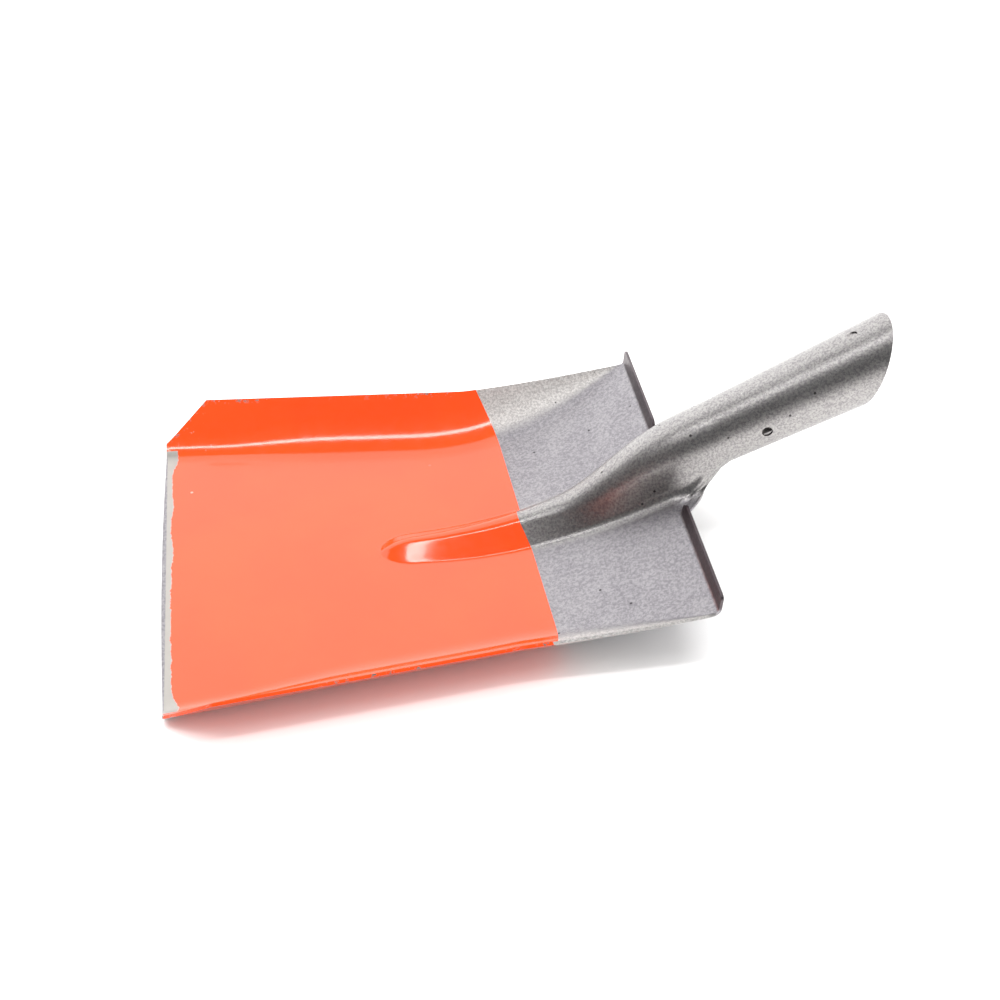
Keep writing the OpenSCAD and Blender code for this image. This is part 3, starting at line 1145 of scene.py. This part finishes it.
@dataclass
class PaintCoat:
    """The dipped coat over the front of the sheet, above, below and round the wall tops."""

    form: Form
    stand_off: float = 0.1
    film_share: float = 0.98
    start_at: float = 0.4
    edge_point: tuple[float, float, float] = (192.5, 117.5, 25.7)
    edge_slope: float = 0.439
    edge_skew: float = 0.0306
    crease: float = 50.0
    name: str = "paint_coat"

    def build(self, sheet: bpy.types.Object) -> bpy.types.Object:
        """Make the coat as a thin shell over the sheet's front.

        Args:
            sheet: The finished steel sheet.

        Returns:
            The coat.
        """
        f = self.form
        only_select(sheet)
        bpy.ops.object.duplicate()
        coat = bpy.context.object
        coat.name = coat.data.name = self.name
        bpy.ops.object.mode_set(mode="EDIT")
        bpy.ops.mesh.select_all(action="SELECT")
        cuts = ((self.edge_point, (1.0, self.edge_skew, self.edge_slope)),
                ((self.start_at, 0, 0), (-1, 0, 0)))
        for at, outwards in cuts:
            bpy.ops.mesh.bisect(plane_co=(Vector(at) + f.shift) * MM, plane_no=outwards,
                                clear_outer=True, clear_inner=False, use_fill=False)
            bpy.ops.mesh.select_all(action="SELECT")
        bpy.ops.transform.shrink_fatten(value=self.stand_off * MM)
        bpy.ops.object.mode_set(mode="OBJECT")
        film = coat.modifiers.new("film", "SOLIDIFY")
        film.thickness, film.offset = self.stand_off * self.film_share * MM, -1.0
        apply_modifier(coat, film)
        only_select(coat)
        bpy.ops.object.shade_smooth_by_angle(angle=math.radians(self.crease))
        return coat


# ------------------------------------------------------------------ studio


@dataclass(frozen=True)
class Softbox:
    """A lamp with a rectangular face, which the camera does not see."""

    name: str
    at: tuple[float, float, float]
    aim: tuple[float, float, float]
    size: tuple[float, float]
    power: float
    mirrored: bool = True

    def hang(self) -> bpy.types.Object:
        """Hang the lamp in the scene.

        Returns:
            The lamp.
        """
        lamp = bpy.data.lights.new(self.name, "AREA")
        lamp.shape, lamp.energy = "RECTANGLE", self.power
        lamp.size, lamp.size_y = self.size
        box = bpy.data.objects.new(self.name, lamp)
        bpy.context.scene.collection.objects.link(box)
        box.location = self.at
        towards = Vector(self.aim) - Vector(self.at)
        box.rotation_euler = towards.to_track_quat("-Z", "Y").to_euler()
        box.visible_camera = False
        box.visible_glossy = self.mirrored
        return box


@dataclass(frozen=True)
class Studio:
    """A white table, a bright backdrop, softboxes overhead, and the camera."""

    eye: tuple[float, float, float] = (-0.11569, -0.72349, 0.5971)
    turn: tuple[float, float, float] = (52.218, 0.495, -8.593)
    lens: float = 59.10
    sensor: float = 36.0
    table_size: float = 8.0
    table_drop: float = 0.0002
    table_white: float = 0.88
    sky_mirrored: float = 0.18
    sky_matt: float = 0.95
    sky_seen: float = 1.05
    softboxes: tuple[Softbox, ...] = (
        Softbox("backdrop", (0.1, 0.875, 0.65), (0.1, -0.0358, 0.0544), (3.4, 1.55), 28.0),
        Softbox("overhead", (-0.1, -0.30, 1.7), (-0.1, -0.30, 0.0), (1.8, 0.15), 11.0),
        Softbox("fill", (-0.1, 0.1, 2.0), (-0.1, 0.0, 0.0), (2.4, 2.4), 25.0, mirrored=False))

    def table(self) -> bpy.types.Object:
        """Add the table that the head lies on.

        Returns:
            The table's top.
        """
        bpy.ops.object.select_all(action="DESELECT")
        bpy.ops.mesh.primitive_plane_add(size=self.table_size, location=(0, 0, -self.table_drop))
        top = bpy.context.object
        top.name = "table"
        s = Shader("table_white")
        s.bsdf.inputs["Base Color"].default_value = (*[self.table_white] * 3, 1.0)
        s.bsdf.inputs["Roughness"].default_value = 0.9
        s.bsdf.inputs["Specular IOR Level"].default_value = 0.1
        top.data.materials.append(s.material)
        return top

    def room(self) -> None:
        """Make the room white for the eye, bright for matt surfaces and dim in reflections."""
        world = bpy.data.worlds.new("studio")
        bpy.context.scene.world = world
        world.use_nodes = True
        tree = world.node_tree
        tree.nodes.clear()
        out = tree.nodes.new("ShaderNodeOutputWorld")
        path = tree.nodes.new("ShaderNodeLightPath")
        mirrored = self.sky(tree, (0.95, 0.97, 1.0), self.sky_mirrored)
        soft = self.sky(tree, (1.0, 0.99, 0.98), self.sky_matt)
        seen = self.sky(tree, (1.0, 1.0, 1.0), self.sky_seen)
        lit = self.choose(tree, path.outputs["Is Diffuse Ray"], mirrored, soft)
        result = self.choose(tree, path.outputs["Is Camera Ray"], lit, seen)
        tree.links.new(result, out.inputs["Surface"])

    @staticmethod
    def sky(tree: bpy.types.NodeTree, colour: Colour, strength: float) -> Socket:
        """Add one even sky.

        Args:
            tree: The world's node tree.
            colour: Colour of the sky.
            strength: Its strength.

        Returns:
            Its shader.
        """
        node = tree.nodes.new("ShaderNodeBackground")
        node.inputs["Color"].default_value = (*colour, 1.0)
        node.inputs["Strength"].default_value = strength
        return node.outputs[0]

    @staticmethod
    def choose(tree: bpy.types.NodeTree, switch: Socket, off: Socket, on: Socket) -> Socket:
        """Pick one of two shaders.

        Args:
            tree: The world's node tree.
            switch: 0 or 1.
            off: The shader at 0.
            on: The shader at 1.

        Returns:
            The shader that was picked.
        """
        node = tree.nodes.new("ShaderNodeMixShader")
        for slot, value in zip(node.inputs, (switch, off, on)):
            tree.links.new(value, slot)
        return node.outputs[0]

    def camera(self) -> None:
        """Set the camera at the usual product angle."""
        lens = bpy.data.cameras.new("camera")
        lens.lens, lens.sensor_width, lens.sensor_fit = self.lens, self.sensor, "HORIZONTAL"
        eye = bpy.data.objects.new("camera", lens)
        bpy.context.scene.collection.objects.link(eye)
        eye.location = self.eye
        eye.rotation_euler = Euler([math.radians(a) for a in self.turn], "XYZ")
        bpy.context.scene.camera = eye

    def build(self) -> None:
        """Set up the whole studio."""
        bpy.context.scene.view_settings.view_transform = "Standard"
        self.table()
        self.room()
        for softbox in self.softboxes:
            softbox.hang()
        self.camera()


# ------------------------------------------------------------------ assembly


def dress(piece: bpy.types.Object, material: bpy.types.Material, slot: Slot, *nodes: str) -> None:
    """Give a piece its material and its place in the frame.

    Args:
        piece: The finished piece.
        material: Its finish.
        slot: Not used.
        *nodes: The CAD nodes that it stands for.
    """
    piece.data.materials.clear()
    piece.data.materials.append(material)
    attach(piece, "root")
    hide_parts(*nodes)
    LOG.info("%s: %d faces, stands for %s", piece.name, len(piece.data.polygons), ", ".join(nodes))


def main() -> None:
    """Build the head and its studio."""
    logging.basicConfig(level=logging.INFO, format="%(name)s %(message)s")
    form = Form()
    sheet = PressedSheet(form).build()
    coat = PaintCoat(form).build(sheet)
    dress(sheet, BareSteel().make(), Slot.STEEL, "floor_pan", "side_wall_left", "side_wall_right",
          "frog_ridge", "step_left", "step_right", "knuckle_left", "knuckle_right", "socket_top",
          "socket_wing_left", "socket_wing_right")
    dress(coat, OrangePaint(form).make(), Slot.PAINT, "paint_top", "paint_under")
    Studio().build()


if __name__ == "__main__":
    main()
